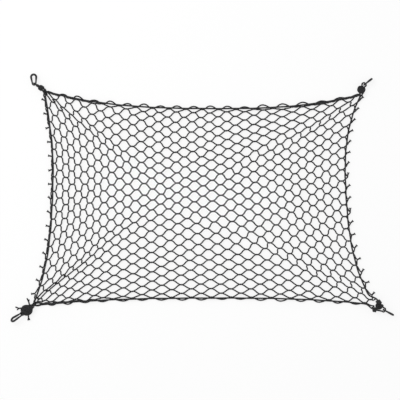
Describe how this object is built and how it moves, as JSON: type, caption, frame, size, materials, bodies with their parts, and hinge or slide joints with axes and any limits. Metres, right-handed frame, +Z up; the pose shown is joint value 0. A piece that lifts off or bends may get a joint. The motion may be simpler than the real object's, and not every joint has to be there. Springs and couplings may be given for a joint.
{
  "type": "cord net",
  "caption": "Flat knitted cord net with a cord threaded round its edges and a swinging hook-up loop at each corner.",
  "frame": {"origin": "centre of the bounding box at the floor that the net is laid on", "axes": "+X along the longer side, to the right as pictured; +Y to the top edge as pictured; +Z up"},
  "size_m": [0.9564, 0.6197, 0.0173],
  "materials": {
    "mesh_yarn": "knitted matt synthetic yarn",
    "edge_cord": "braided synthetic cord",
    "eye_cord": "braided synthetic cord",
    "loop_cord": "tightly braided synthetic cord",
    "twine": "twisted synthetic twine"
  },
  "bodies": {
    "root": {"netting": "mesh_yarn", "edge_cord_top": "edge_cord", "edge_cord_right": "edge_cord", "edge_cord_bottom": "edge_cord", "edge_cord_left": "edge_cord", "corner_eye_tl": "eye_cord", "corner_eye_tr": "eye_cord", "corner_eye_bl": "eye_cord", "corner_eye_br": "eye_cord", "corner_whipping_tl": "twine", "corner_whipping_tr": "twine", "corner_whipping_bl": "twine", "end_knot_right": "twine", "end_knot_bottom": "twine", "eye_knot_br": "twine"},
    "loop_tl": {"corner_loop_tl": "loop_cord"},
    "loop_tr": {"corner_loop_tr": "loop_cord"},
    "loop_bl": {"corner_loop_bl": "loop_cord"},
    "loop_br": {"corner_loop_br": "loop_cord"}
  },
  "joints": [
    {"name": "loop_swing_tl", "type": "hinge", "parent": "root", "child": "loop_tl", "pos_m": [-0.41958, 0.28589, 0.0088], "axis": [0, 0, 1], "range_deg": [-38, 142]},
    {"name": "loop_swing_tr", "type": "hinge", "parent": "root", "child": "loop_tr", "pos_m": [0.40706, 0.28432, 0.0088], "axis": [0.6157, -0.788, 0], "range_deg": [-90, 90]},
    {"name": "loop_swing_bl", "type": "hinge", "parent": "root", "child": "loop_bl", "pos_m": [-0.45148, -0.29072, 0.0088], "axis": [-0.4292, 0.6609, 0.6157], "range_deg": [-90, 90]},
    {"name": "loop_swing_br", "type": "hinge", "parent": "root", "child": "loop_br", "pos_m": [0.45592, -0.28134, 0.0088], "axis": [-0.4695, -0.8829, 0], "range_deg": [-90, 90]}
  ]
}
